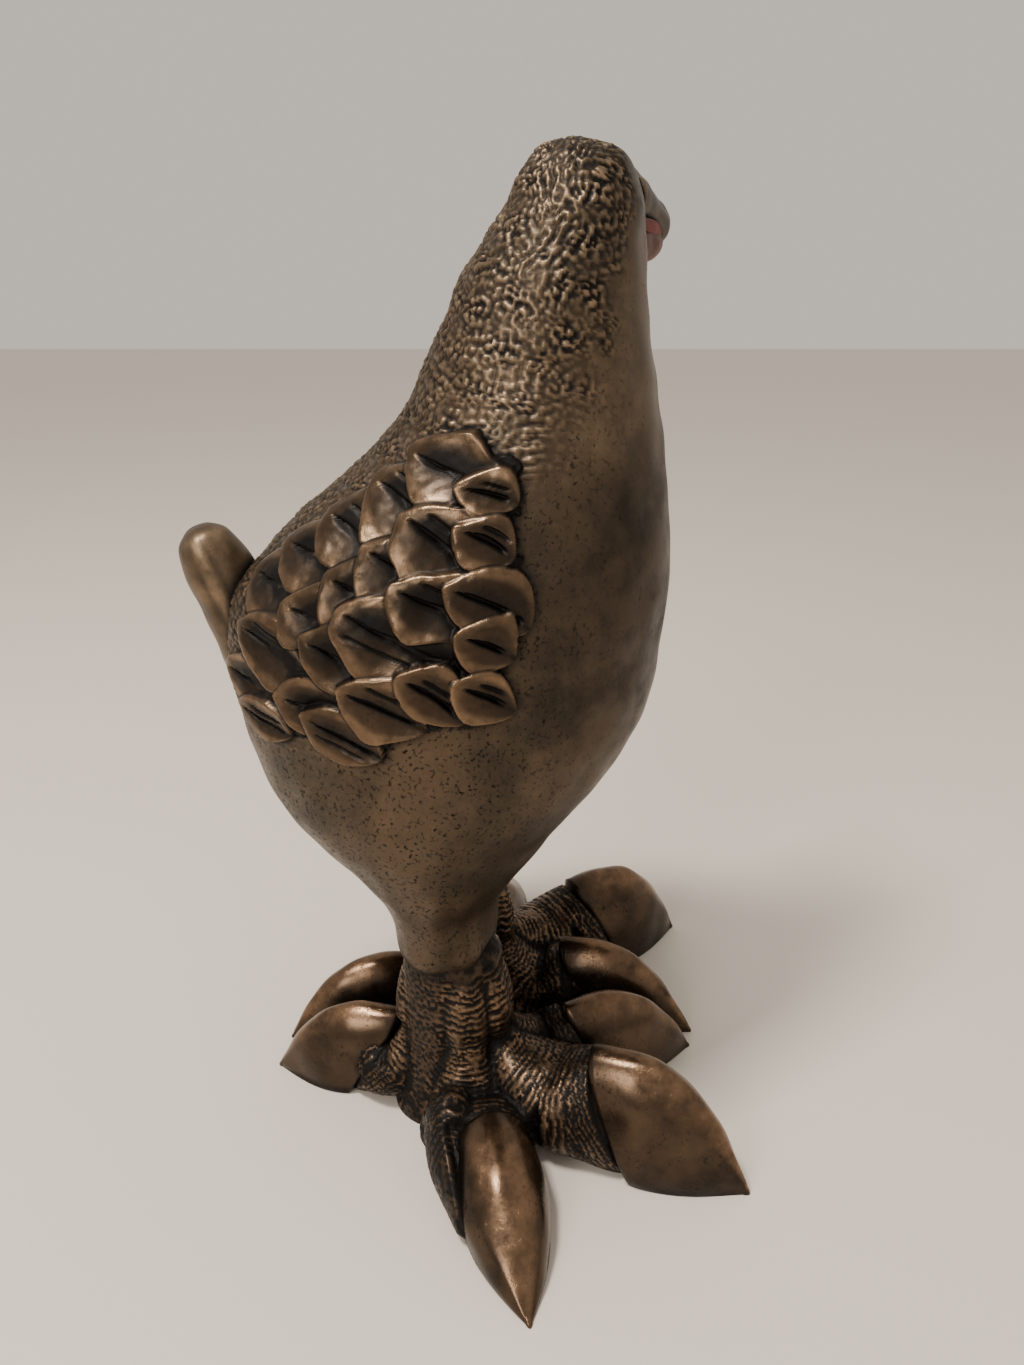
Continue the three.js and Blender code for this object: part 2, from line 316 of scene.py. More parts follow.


# %% [markdown]
# The hood's edge runs from the breast's side up to the brow. Behind it the ridges rise, and they fade
# out over a wide band. The masks follow from the same waves: wax in the valleys, copper on the crests,
# painted shade down the breast, a darker tone on the crown, a painted sheen down the throat, and fine
# pits in the bare skin.

# %% Body skin with its hood of ridges
# level in thousandths, then degrees round from straight ahead
HOOD_EDGE = [[0, 150], [300, 125], [430, 104], [520, 92], [600, 84], [670, 76], [715, 70], [755, 64],
             [810, 60], [870, 52], [925, 44], [965, 34], [1000, 24]]
RIDGE_PITCH = 2.5 * MM
RIDGE_RISE = 0.5 * MM
# each set of ridges: its strength, the way it is warped, its pitch in ridge pitches and its seed
RIDGE_SETS = [(0.8, 1, 1, 11), (0.62, -1, 1.55, 12), (0.34, 0, 0.66, 13)]
RIDGE_WAVES = 140
RIDGE_SPREAD = 0.45
LUMP_RISE = 0.13 * MM


def girdle(points):
    """Level in thousandths, and degrees round the body from straight ahead."""
    from_axis = points - AXIS
    up = (from_axis[:, 2] - LEG_HEIGHT) / BODY_HEIGHT * 1000
    middle, _, _ = section(up)
    return up, np.degrees(np.abs(np.arctan2(from_axis[:, 0], -from_axis[:, 1] - middle)))


def relief(obj):
    points, normals = get(obj), get(obj, "normal")
    up, turn = girdle(points)
    ragged = ripples(points, normals, 20 * MM, 5) * 3 + ripples(points, normals, 8 * MM, 6) * 2
    past = turn - np.interp(up, *np.array(HOOD_EDGE).T) + ragged
    beak_way = np.array([math.sin(HEAD_TURN), -math.cos(HEAD_TURN)])
    forward = (points[:, :2] - AXIS[:2] - [0, -NECK_AHEAD]) @ beak_way
    face = step(9 * MM, 16 * MM, forward) * step(800, 860, up)
    soft = np.interp(up, [560, 700, 800], [30, 26, 17])
    hood = step(-0.35, 0.65, past / soft) * (1 - face) * step(300, 420, up)
    warp = ripples(points, normals, 11 * MM, 8)[:, None] * normals[:, [1, 2, 0]] * 0.8 * MM
    bumps = sum(
        strength * ripples(points + way * warp, normals, RIDGE_PITCH * pitch, seed,
                           RIDGE_WAVES, RIDGE_SPREAD)
        for strength, way, pitch, seed in RIDGE_SETS)
    bumps = np.tanh(1.25 * (bumps - 0.1))
    strong = hood * np.clip(0.88 + 0.2 * ripples(points, normals, 13 * MM, 14), 0.5, 1.25)
    lumps = ripples(points, normals, 18 * MM, 15) * LUMP_RISE
    put(obj, points + normals * (strong * bumps * RIDGE_RISE + lumps)[:, None])
    wiped = 1 - 0.7 * step(30, 6, past) * step(790, 690, up)
    old = np.clip(0.9 + 0.2 * ripples(points, normals, 15 * MM, 16), 0.5, 1.2)
    # A painted sheen down the front of the neck, put into the ridge mask so it shows as lighter copper.
    throat_sheen = step(620, 720, up) * step(930, 880, up) * step(120, 60, turn) * (1 - hood)
    masks(obj, (0.2 - bumps) * strong * wiped * old * 0.72,
          (bumps + 0.05) * strong * (0.5 + 0.4 * old) + 0.3 * throat_sheen)
    # Painted shade down the front of the breast; the crown gets a darker tone of its own.
    breast = step(75, 20, turn) * step(150, 420, up) * step(760, 620, up)
    paint(obj, "dusk", breast + 0.6 * step(900, 975, up))
    paint(obj, "pits", step(0.9, 0.2, hood) * step(30, 80, turn))


body = press("body_skin", 248, 398, body_form)
relief(body)
cast(body)

# %% [markdown]
# The tail is a rounded stub, drawn out of the body and smoothed with a thumb, with a soft ridge down
# each side. It flares at its root, so it grows out of the back instead of being stuck on.

# %% Tail
TAIL_LENGTH = 69 * MM
TAIL_WIDTH = 24 * MM
TAIL_RAKE = math.radians(24)
TAIL_ROOT = (share(-299), level(347))
TAIL_RIDGE = 0.045
TAIL_TAPER = [[0, 1.35], [0.3, 1.25], [0.55, 1.1], [0.78, 1.02], [0.92, 0.8], [0.985, 0.4], [1, 0.02]]


def tail_form(turn, t):
    along, girth = smooth(TAIL_TAPER, t).T
    girth = np.where(t < 0.02, 0.4, girth) * TAIL_WIDTH / 2
    side = 1 + TAIL_RIDGE * np.exp(-((np.abs(np.sin(turn)) - 1) / 0.02) ** 2) * np.clip(4 * (1 - t), 0, 1)
    out, aside = girth * np.cos(turn), girth * np.sin(turn) * side
    lean, rise = math.sin(TAIL_RAKE), math.cos(TAIL_RAKE)
    return place(TAIL_ROOT[0] - along * TAIL_LENGTH * lean - out * rise, aside,
                 TAIL_ROOT[1] + along * TAIL_LENGTH * rise - out * lean)


tail = press("tail_stub", 72, 60, tail_form)
uneven(tail, (14 * MM, 0.12 * MM, 21))
masks(tail, hollows(tail, 12, 0.5 * MM), -hollows(tail, 12, 0.4 * MM))
cast(tail)

# %% [markdown]
# A wing is a patch of leaf-shaped feathers, laid on one after another like roof tiles. Each has a
# domed upper end, two crests that run down from it and a dished middle with a groove, which is
# deepest where the next leaf begins. Separate leaves poke through one another wherever they cross.
# So the wing is one sheet: the leaves are laid on it in order, and each hides what lies under it.

# %% Where the feathers lie
LEAF_HEIGHT = 5.5 * MM
GROOVE_DEPTH = 1.9 * MM
DISH_DEPTH = 3.9 * MM
LEAF_FALL = 1.1 * MM
SHEET_CELL = 0.45 * MM
SHEET_FROM = np.array([-112, 162]) * MM
SHEET_TO = np.array([34, 285]) * MM
FLOW = np.array([0.93, -0.37])  # the way in which the leaves follow one another
UNDER = -3 * MM  # the sheet's rim lies inside the body
BED = 1.2 * MM  # where leaves crowd, the sheet between them stands over the body
LOWEST = 0.5 * MM
# each groove from its start to its end, in millimetres ahead of the upright line and above the floor,
# the leaf's width, and whether its far end lies free on the breast
GROOVES = [
    (-26, 267, -14, 259, 19, 0), (-38, 258, -27, 252, 20, 0), (-54, 247, -45, 242, 20, 0),
    (-69, 237, -58, 233, 19, 0), (-82, 226, -71, 223, 19, 0), (-12, 259, -1, 257, 13, 1),
    (-29, 249, -12, 238, 20, 0), (-41, 239, -28, 232, 19, 0), (-53, 230, -45, 225, 19, 0),
    (-68, 220, -62, 216, 19, 0), (-86, 210, -68, 203, 20, 0), (-13, 247, -1, 243, 14, 1),
    (-16, 230, 4, 223, 19, 1), (-32, 229, -17, 220, 19, 0), (-49, 221, -27, 210, 23, 0),
    (-61, 211, -48, 205, 19, 0), (-71, 191, -61, 188, 19, 0), (-93, 194, -78, 189, 19, 0),
    (-13, 216, -3, 212, 17, 1), (-31, 202, -17, 194, 18, 1), (-49, 197, -31, 189, 21, 1),
    (-62, 186, -45, 177, 18, 1), (-14, 200, -3, 195, 17, 1), (-88, 182, -76, 176, 15, 1),
]
# first what a leaf is like when the next one covers its end, then when its end lies free: its width,
# its reach before and after the groove in millimetres, and its dish, fall, painted shade in the dish and
# painted shade at its end
KINDS = [dict(width=1.2, before=6, after=8, dish=1, fall=1, shade=1, end=0.6),
         dict(width=1.1, before=5.5, after=5, dish=0.55, fall=0.5, shade=0.5, end=0.1)]
print(len(GROOVES), "leaves on each wing")


# %% One leaf
def on_flank(girth, up, lift, side):
    middle, depth, half = section(up)
    turn = girth / ((depth + half) / 2)
    out = np.stack([side * np.cos(turn) / half, -np.sin(turn) / depth, 0 * turn], axis=-1)
    out /= np.linalg.norm(out, axis=1, keepdims=True)
    skin = place(middle + depth * np.sin(turn), side * half * np.cos(turn), level(up))
    return skin + out * lift[:, None]


def around_flank(ahead, height):
    """Where a place on the side lies on the sheet, given how far ahead and how high it is."""
    up = (height * MM - LEG_HEIGHT) / BODY_HEIGHT * 1000
    middle, depth, half = section(up)
    turn = math.asin(np.clip((ahead * MM - middle) / depth, -0.97, 0.97))
    return np.array([turn * (depth + half) / 2, height * MM])


def lay_leaf(spots, groove, rng):
    """How far each spot lies inside one leaf, and the height and masks it has there."""
    start, end = around_flank(*groove[:2]), around_flank(*groove[2:4])
    free = groove[5]
    kind = KINDS[free]
    wide = groove[4] * MM / 2 * kind["width"]
    before, after = kind["before"] * MM, kind["after"] * MM
    run = np.linalg.norm(end - start)
    way = (end - start) / run
    x = (spots - start) @ way
    y = (spots - start) @ np.array([-way[1], way[0]])
    y = y + rng.uniform(-0.01, 0.01) * x * np.abs(x) / MM
    u = np.clip((x + before) / (run + before + after), 0, 1)
    full = np.clip(1 - np.clip(1 - u / 0.5, 0, 1) ** 1.6, 0, 1) ** 0.74
    if free:
        full *= np.clip(1 - np.clip((u - 0.5) / 0.5, 0, 1) ** 1.6, 0, 1) ** 0.8
    else:
        full *= 1 - 0.45 * step(0.45, 1, u)
    side = 1 + rng.uniform(-0.12, 0.12) * np.tanh(y / (2 * MM))
    half = wide * full * side * (1 + 0.05 * np.sin(x / (3.1 * MM) + rng.uniform(0, 6)))
    inside = np.minimum(half - np.abs(y), np.minimum(x + before, run + after - x))
    beside = np.clip(np.abs(y) / (0.9 * np.maximum(half, 2 * MM)), 0, 1)
    opened = step(-5 * MM, 3 * MM, x)
    rise = LEAF_HEIGHT * (0.72 + 0.28 * step(-90, -45, groove[0]))
    deep = kind["dish"] * step(-5.5 * MM, 0.8 * run, x)
    height = rise * (1 - 0.12 * beside**3) - DISH_DEPTH * deep * (1 - beside) ** 0.9
    height -= LEAF_FALL * kind["fall"] * step(-2 * MM, run + 2 * MM, x)
    cut = step(-2.5 * MM, 1 * MM, x) * (step(run + 1.5 * MM, run - 2 * MM, x) if free else 1)
    thin = 0.3 + 0.7 * step(-2 * MM, 5 * MM, x)
    furrow = np.exp(-((y / (0.7 * MM * thin)) ** 4)) * cut
    if rng.random() < 0.6:
        line = rng.choice([-1, 1]) * rng.uniform(0.3, 0.42) * wide
        span = step(1 * MM, 4 * MM, x) * step(run, run - 3 * MM, x)
        furrow = np.maximum(furrow, 0.6 * np.exp(-(((y - line) / (0.5 * MM)) ** 4)) * span)
    height -= GROOVE_DEPTH * furrow + 0.5 * MM * (1 - np.clip(inside / (0.9 * MM), 0, 1)) ** 2
    # The dish is darkened by wax and by painted shade, the shade heavier on the side that faces away from
    # the light.
    shade = 1 + 0.4 * np.tanh(y / (1.5 * MM))
    low = step(-2 * MM, 5 * MM, x) * np.clip(1.1 - 1.35 * beside, 0, 1) * shade * kind["shade"]
    # Painted shade at the leaf's far end, under the edge of the next leaf.
    covered_end_shade = kind["end"] * step(run - 5 * MM, run + 3 * MM, x)
    dark = np.clip(1.3 * furrow + low + covered_end_shade, 0, 1)
    rim = np.exp(-(((inside - 0.9 * MM) / (0.6 * MM)) ** 2))
    bright = 0.3 * rim * step(6 * MM, -2 * MM, x) + 0.35 * step(1 * MM, -5 * MM, x)
    bright = (bright + 0.45 * opened * step(0.5, 0.85, beside)) * rng.uniform(1.0, 1.5)
    dark += rng.uniform(-0.06, 0.08)
    return inside, np.maximum(height, LOWEST), np.clip(dark, 0, 1), np.clip(bright - dark, 0, 1)


# %% The wing as one sheet
def wing(side, name, seed):
    rng = np.random.default_rng(seed)
    size = SHEET_TO - SHEET_FROM
    across, upward = np.ceil(size / SHEET_CELL).astype(int).tolist()
    bpy.ops.object.select_all(action="DESELECT")
    bpy.ops.mesh.primitive_grid_add(x_subdivisions=across, y_subdivisions=upward, size=2)
    obj = newest(name)
    spots = SHEET_FROM + (get(obj)[:, :2] + 1) / 2 * size
    order = sorted(GROOVES, key=lambda g: around_flank(*g[:2]) @ FLOW + 4 * MM * g[5])
    leaves = [lay_leaf(spots, groove, rng) for groove in order]
    crowd = sum(step(-4 * MM, -2 * MM, leaf[0]) for leaf in leaves)
    bed = step(1.2, 1.9, crowd)
    height = UNDER + (BED - UNDER) * bed
    # Painted shade: the sheet that shows between crowded leaves is painted dark.
    dark, bright = bed.copy(), np.zeros(len(spots))
    for inside, lift, leaf_dark, leaf_bright in leaves:
        cover = step(-0.5 * MM, 0.4 * MM, inside)
        # Painted shadow: a dark line just outside each leaf's edge, on what lies under it.
        dark = np.maximum(dark, 0.8 * step(-1.3 * MM, -0.4 * MM, inside))
        height += (lift - height) * cover
        dark += (leaf_dark - dark) * cover
        bright += (leaf_bright - bright) * cover
    put(obj, on_flank(spots[:, 0], (spots[:, 1] - LEG_HEIGHT) / BODY_HEIGHT * 1000, height, side))
    masks(obj, dark, bright)
    bpy.ops.object.mode_set(mode="EDIT")
    bpy.ops.mesh.select_mode(type="EDGE")
    bpy.ops.mesh.select_all(action="DESELECT")
    bpy.ops.mesh.select_non_manifold()
    bpy.ops.mesh.edge_face_add()
    bpy.ops.object.mode_set(mode="OBJECT")
    outward(obj)
    bpy.ops.object.shade_smooth()
    uneven(obj, (12 * MM, 0.14 * MM, 31), (4 * MM, 0.03 * MM, 32))
    cast(obj)


for seed, (side, side_name) in enumerate(SIDES, 41):
    wing(side, f"wing_{side_name}", seed)

# %% [markdown]
# Each leg is a bundle of tendons that run down the shank and out into the toes. They are pressed as
# separate tubes, melted together by a voxel remesh, as clay rolls are, and cut level at the sole.
# A flat roll of flesh is melted in behind the outer nail.

# %% Toes, tendons and pads
LEG_SPREAD = 60 * MM
LEG_WIDTH = 31 * MM
LEG_DEPTH = 40 * MM
LEG_AHEAD = share(-80)
TENDON_WIDTH = 18 * MM
TOE_CENTRE = 0.42
FOOT_TURN = math.radians(5)
RIB_PITCH = 2.7 * MM
RIB_DEPTH = 0.85 * MM
STREAK_PITCH = 1.9 * MM
LEG_VOXEL = 0.95 * MM
PIT_DEPTH = 0.35 * MM
CREASE_DEPTH = 3 * MM
# in millimetres: the middle of each nail's root and its point, both ahead of the leg's middle and in
# towards the other leg, its height and width and how far its top leans back; then how long its ridge
# stays high and its plan stays wide, and the half width of its crease as a share of its width
TOES = {
    "middle": dict(root=(73, -33), point=(112, -50), height=47, width=31, lean=22,
                   ridge=2.4, plan=1.6, crease=0.66),
    "outer": dict(root=(16, -44), point=(29, -103), height=30, width=32, lean=5,
                  ridge=1.6, plan=2.5, crease=0.54),
    "inner": dict(root=(62, 15), point=(102, 30), height=39, width=26, lean=19,
                  ridge=2.3, plan=1.7, crease=0.66),
    "hind": dict(root=(-44, 13), point=(-78, 18), height=36, width=25, lean=22,
                 ridge=2.3, plan=1.7, crease=0.66),
}
# the roll behind the outer nail, from the shank outwards, in millimetres: ahead, in, up, half width
# and half height
PAD = [(-2, -22, 18, 10, 16), (1, -44, 13, 10, 14), (6, -62, 9, 7, 10), (13, -80, 4, 4, 5),
       (19, -90, 2, 1, 2)]


def on_foot(side, ahead, inward):
    turn = FOOT_TURN if side > 0 else 0.0
    ahead, inward = np.asarray(ahead, float), np.asarray(inward, float)
    return (LEG_AHEAD + ahead * math.cos(turn) + side * inward * math.sin(turn),
            side * (LEG_SPREAD / 2 - inward * math.cos(turn)) + ahead * math.sin(turn))


def toe_line(side, toe):
    """The middle of a nail's root, the way from it to the point, and how far that is."""
    root, point = (np.array(on_foot(side, *np.array(toe[end]) * MM)) for end in ("root", "point"))
    length = np.linalg.norm(point - root)
    return root, (point - root) / length, length


def tendon_rows(side, toe):
    u, v = np.array(toe["root"]) / math.hypot(*toe["root"])
    high, wide = toe["height"] * MM, toe["width"] * MM / 2

    def down(part, up, girth):
        spot = on_foot(side, u * LEG_DEPTH / 2 * part, v * LEG_WIDTH / 2 * part)
        return [*spot, LEG_HEIGHT * up, girth * TENDON_WIDTH / 2, girth * TENDON_WIDTH / 2]

    def out(part, girth, rise):
        spot = on_foot(side, toe["root"][0] * MM * part, toe["root"][1] * MM * part)
        return [*spot, high * TOE_CENTRE, girth * wide, rise * high * (1 - TOE_CENTRE)]

    return np.array([down(0.66, 0.96, 0.76), down(0.75, 0.72, 1), down(0.86, 0.45, 1.04),
                     out(0.52, 1.4, 0.62), out(0.78, 1.26, 0.86), out(1.02, 1.06, 0.97)], float)


def tube_form(rows):
    ends = rows[-1, :3] - rows[0, :3]
    across = np.array([ends[1], -ends[0], 0.0]) / math.hypot(ends[0], ends[1])

    def form(turn, t):
        spot = smooth(rows, t)
        later, sooner = (smooth(rows, np.clip(t + dt, 0, 1))[:, :3] for dt in (0.01, -0.01))
        ahead = later - sooner
        ahead /= np.linalg.norm(ahead, axis=1, keepdims=True)
        over = np.cross(ahead, across)
        full = np.sqrt(np.clip(1 - np.abs(2 * t - 1) ** 16, 0, 1))
        out = across * (spot[:, 3] * np.cos(turn) * full)[:, None]
        out = out + over * (spot[:, 4] * np.sin(turn) * full)[:, None]
        return place(*(spot[:, :3] + out).T)

    return form


def core_form(side):
    ahead, aside = on_foot(side, 0, 0)
    rows = [[-0.05, 0.02], [-0.04, 1.2], [0.2, 1.08], [0.45, 1], [0.9, 0.99], [1.08, 0.86], [1.15, 0.02]]

    def form(turn, t):
        up, girth = smooth(rows, t).T
        return place(ahead + LEG_DEPTH / 2 * girth * np.cos(turn),
                     aside + LEG_WIDTH / 2 * girth * np.sin(turn), LEG_HEIGHT * up)

    return form


# %% [markdown]
# Folds of skin are cut across every tendon: each point of the skin asks how far along its nearest
# tendon it lies, and a narrow furrow is sunk every few millimetres. Before the nails the furrows
# slant, as the nails' roots do. Under each nail the flesh is sunk as well, so that none of it stands
# through the nail, and a dark line is left behind it.


# %% Folds, pits and creases
def nail_marks(points, side, toe):
    """How far each point lies in the line behind a nail, and in the crease under it."""
    root, way, _ = toe_line(side, toe)
    spots = np.stack([AXIS[1] - points[:, 1], points[:, 0] - AXIS[0]], axis=1) - root
    aside = np.abs(spots @ np.array([-way[1], way[0]]))
    up = points[:, 2] / (toe["height"] * MM)
    behind = spots @ way + toe["lean"] * MM * up
    wide = toe["width"] * MM * toe["crease"]
    below_top = step(1.15, 1.02, up)
    line = step(-1.8 * MM, -0.6 * MM, behind) * step(2.6 * MM, 1 * MM, behind)
    line *= step(wide + 2 * MM, wide, aside) * below_top
    crease = step(-1.8 * MM, 0.6 * MM, behind) * step(wide + 1 * MM, wide - 1 * MM, aside) * below_top
    return line, crease


def fold(obj, routes, side):
    """Ribs across each tendon, slanting streaks before each nail, pits on the bare flanks."""
    points, normals = get(obj), get(obj, "normal")
    best = np.full(len(points), np.inf)
    along, to_nail, slant, crease, line = (np.zeros(len(points)) for _ in range(5))
    for k, (toe, rows) in enumerate(zip(TOES.values(), routes)):
        spots = smooth(rows, np.linspace(0, 1, 130))
        track = place(*spots[:, :3].T)
        run = np.concatenate([[0], np.cumsum(np.linalg.norm(np.diff(track, axis=0), axis=1))])
        girth = (spots[:, 3] + spots[:, 4]) / 2
        gap = np.linalg.norm(points[:, None] - track[None], axis=2) / girth
        near = gap.argmin(axis=1)
        gap = gap[np.arange(len(points)), near]
        mine = gap < best
        best[mine] = gap[mine]
        along[mine] = run[near[mine]] + k * 1.1 * MM
        to_nail[mine] = run[-1] - run[near[mine]]
        slant[mine] = points[mine, 2] * toe["lean"] / toe["height"]
        behind_nail, under_nail = nail_marks(points, side, toe)
        line, crease = np.maximum(line, behind_nail), np.maximum(crease, under_nail)
    wobble = ripples(points, normals, 22 * MM, 51) * 0.7 * MM
    wobble += ripples(points, normals, 8 * MM, 52) * 0.14 * MM
    toe_part = step(30 * MM, 18 * MM, to_nail)
    patchy = np.clip(0.85 + 0.3 * ripples(points, normals, 11 * MM, 53), 0.2, 1.15)
    onto = 0.3 + 0.7 * step(1.42, 1.12, best)
    rib = np.clip(np.cos(2 * math.pi * (along + wobble) / RIB_PITCH) * 1.3 - 0.1, 0, 1) * patchy
    streak = np.cos(2 * math.pi * (to_nail - slant + wobble) / STREAK_PITCH)
    streak = np.clip(streak * 1.3 + 0.3 + 0.3 * ripples(points, normals, 9 * MM, 55), 0, 1)
    furrow = onto * (rib * (1 - toe_part) + streak * toe_part)
    pit = np.clip(ripples(points, normals, 2.6 * MM, 54) - 0.7, 0, 1.2) * (1 - 0.5 * onto)
    sink = RIB_DEPTH * furrow * (1 - 0.3 * toe_part) + PIT_DEPTH * pit + CREASE_DEPTH * crease
    moved = points - normals * (sink * np.clip(points[:, 2] / (2.5 * MM), 0, 1))[:, None]
    moved[:, 2] = np.maximum(moved[:, 2], 0)
    valley = np.clip(hollows(obj, 40, 1.0 * MM), 0, 1)
    put(obj, moved)
    crest = np.clip(1 - 2.4 * furrow - pit, 0, 1)
    mottle = np.clip(0.35 * ripples(points, normals, 7 * MM, 56), 0, 0.5)
    below = step(0.99, 0.9, points[:, 2] / LEG_HEIGHT)
    recess = furrow * (1.1 + 0.3 * toe_part) + 0.8 * pit + 1.4 * valley + 1.5 * line
    recess += 0.35 * step(1.1, 1.45, best) + (mottle + 0.4 * toe_part) * (1 - 0.8 * crest)
    ridge = crest * (0.3 + 0.6 * onto) * (0.6 + 0.4 * patchy) * (1 - 0.35 * toe_part) * below
    masks(obj, recess, ridge - valley)


# %% Both legs
def leg(side, name):
    routes = [tendon_rows(side, toe) for toe in TOES.values()]
    parts = [press("core", 48, 40, core_form(side))]
    parts += [press("tendon", 40, 60, tube_form(rows)) for rows in routes]
    pad = np.array([[*on_foot(side, *np.array(row[:2]) * MM), *np.array(row[2:]) * MM] for row in PAD])
    parts.append(press("pad", 40, 40, tube_form(pad)))
    obj = join(name, parts)
    modify(obj, "REMESH", mode="VOXEL", voxel_size=LEG_VOXEL)
    modify(obj, "SMOOTH", factor=0.5, iterations=2)
    bpy.ops.object.mode_set(mode="EDIT")
    bpy.ops.mesh.select_all(action="SELECT")
    bpy.ops.mesh.bisect(plane_co=(0, 0, 0), plane_no=(0, 0, 1), use_fill=True, clear_inner=True)
    bpy.ops.object.mode_set(mode="OBJECT")
    bpy.ops.object.shade_smooth()
    fold(obj, routes, side)
    cast(obj)


for side, side_name in SIDES:
    leg(side, f"leg_{side_name}")

# %% [markdown]
# A nail is a pointed arch: flat sole, upright slightly hollow sides, rounded ridge. It starts in the
# cut crease at the end of its toe and runs down to a low point. The arch is one closed curve round the
# pressed sphere, and two powers say how long its ridge stays high and its plan stays wide.

# %% Nails
CAP = 0.06  # the share of the nail's rings that closes its root
TIP = 0.04  # the share of its length that closes its point
ARCH = [[-0.9, -0.02], [-1.0, 0.1], [-1.02, 0.35], [-0.93, 0.58], [-0.72, 0.8], [-0.36, 0.95], [0, 1],
        [0.36, 0.95], [0.72, 0.8], [0.93, 0.58], [1.02, 0.35], [1.0, 0.1], [0.9, -0.02], [0, -0.03],
        [-0.9, -0.02]]


def claw_form(side, toe):
    root, (u, v), length = toe_line(side, toe)

    def form(turn, t):
        beside, up = smooth(ARCH, (turn / (2 * math.pi)) % 1).T
        run = np.clip((t - CAP) / (1 - CAP), 0, 1)
        s = 1 - (1 - run) ** 1.35
        cap = np.sqrt(np.clip(t / CAP, 0, 1))
        swell = 1 + 0.1 * np.sin(math.pi * s)
        tip = np.sqrt(np.clip((1 - s) / TIP, 0, 1))
        half = toe["width"] * MM / 2 * swell * np.maximum(1 - s ** toe["plan"], 0.09) * cap * tip
        top = toe["height"] * MM * swell * np.maximum(1 - s ** toe["ridge"], 0.07) * cap * tip
        along = s * length - toe["lean"] * MM * up * (1 - s) ** 2 - 2 * MM * (1 - cap)
        ahead, aside = root[0] + u * along - v * beside * half, root[1] + v * along + u * beside * half
        points = place(ahead, aside, np.maximum(up * top, 0))
        # Dark in the crease at the root, and painted shade on the lower part of the nail, most at the
        # sole.
        edge = step(0.07, 0.045, t) + 0.5 * step(0.14, 0.02, up) + 0.3 * step(0.6, 0.1, up)
        rubbed = step(0.72, 0.98, up) * 0.8 * step(0.05, 0.2, t)
        return points, {"recess": np.clip(edge, 0, 1), "ridge": np.clip(rubbed, 0, 1)}

    return form


claws = []
for side, side_name in SIDES:
    for toe_name, toe in TOES.items():
        nail = press(f"claw_{side_name}_{toe_name}", 72, 64, claw_form(side, toe))
        uneven(nail, (20 * MM, 0.16 * MM, 60 + len(claws)))
        claws.append(cast(nail))

# %% [markdown]
# The face is turned to the bird's left. The upper beak ends in a swollen hook that droops over the
# rounded lower one, a red line is rubbed along the mouth, and an eye sits in a lid on each side.

# %% Beak and mouth line
BEAK_LENGTH = 60 * MM
BEAK_WIDTH = 25 * MM
BEAK_DEPTH = 27 * MM
# rows of each half of the beak: how far out in beak lengths, how high in beak depths above the mouth,
# half width and half height
UPPER = [[0.1, 0.3, 0.2, 0.2], [0.12, 0.3, 0.5, 0.42], [0.4, 0.29, 0.5, 0.39], [0.6, 0.2, 0.43, 0.32],
         [0.78, 0.09, 0.35, 0.27], [0.9, 0.01, 0.32, 0.25], [0.97, -0.07, 0.24, 0.21],
         [1, -0.13, 0.02, 0.03]]
LOWER = [[0.1, -0.26, 0.2, 0.2], [0.12, -0.26, 0.46, 0.36], [0.4, -0.24, 0.46, 0.33],
         [0.62, -0.24, 0.4, 0.3], [0.78, -0.26, 0.33, 0.27], [0.88, -0.26, 0.24, 0.2],
         [0.93, -0.24, 0.02, 0.02]]


def on_head(out, across, up):
    return place(NECK_AHEAD + out * math.cos(HEAD_TURN) - across * math.sin(HEAD_TURN),
                 out * math.sin(HEAD_TURN) + across * math.cos(HEAD_TURN), up)


def mandible_form(rows):
    def form(turn, t):
        out, rise, half, tall = smooth(rows, t).T
        return on_head(out * BEAK_LENGTH, half * BEAK_WIDTH * np.cos(turn),
                       MOUTH + BEAK_DEPTH * (rise + tall * np.sin(turn)))
    return form


def mouth_form(turn, t):
    """A lip that runs from one cheek round the front of the lower beak to the other."""
    way = np.abs(2 * t - 1)
    out = BEAK_LENGTH * (0.88 - 0.56 * way**1.4)
    across = BEAK_WIDTH * np.sign(t - 0.5) * np.interp(way, [0, 0.2, 0.6, 1], [0, 0.25, 0.4, 0.48])
    girth = 2.4 * MM * np.sqrt(np.clip(1 - way**4, 0, 1))
    rise = MOUTH - BEAK_DEPTH * (0.14 - 0.12 * way**1.2)
    return on_head(out + girth * np.cos(turn), across, rise + girth * np.sin(turn))


for name, rows in (("beak_upper", UPPER), ("beak_lower", LOWER)):
    piece = press(name, 72, 64, mandible_form(rows))
    uneven(piece, (9 * MM, 0.12 * MM, 71))
    sunk = hollows(piece, 10, 0.5 * MM)
    masks(piece, sunk, -sunk)
    cast(piece)
mouth = cast(press("mouth_line", 24, 96, mouth_form))
masks(mouth, hollows(mouth, 6, 0.5 * MM), np.zeros(len(mouth.data.vertices)))

# %% Eyes in their lids
EYE_DIAMETER = 11 * MM
EYE_SPREAD = math.radians(42)
EYE_SINK = 0.87
EYE_LEVEL = 941
LID_OUT = 2.9 * MM
LID_RADIUS = EYE_DIAMETER * 0.43
LID_GIRTH = 1.1 * MM


def settled(name, rubbed):
    """The object that the last operator made, its place applied, with one even ridge mask."""
    bpy.ops.object.transform_apply(location=True, rotation=True, scale=True)
    bpy.ops.object.shade_smooth()
    obj = newest(name)
    masks(obj, np.zeros(len(obj.data.vertices)), np.full(len(obj.data.vertices), rubbed))
    return obj


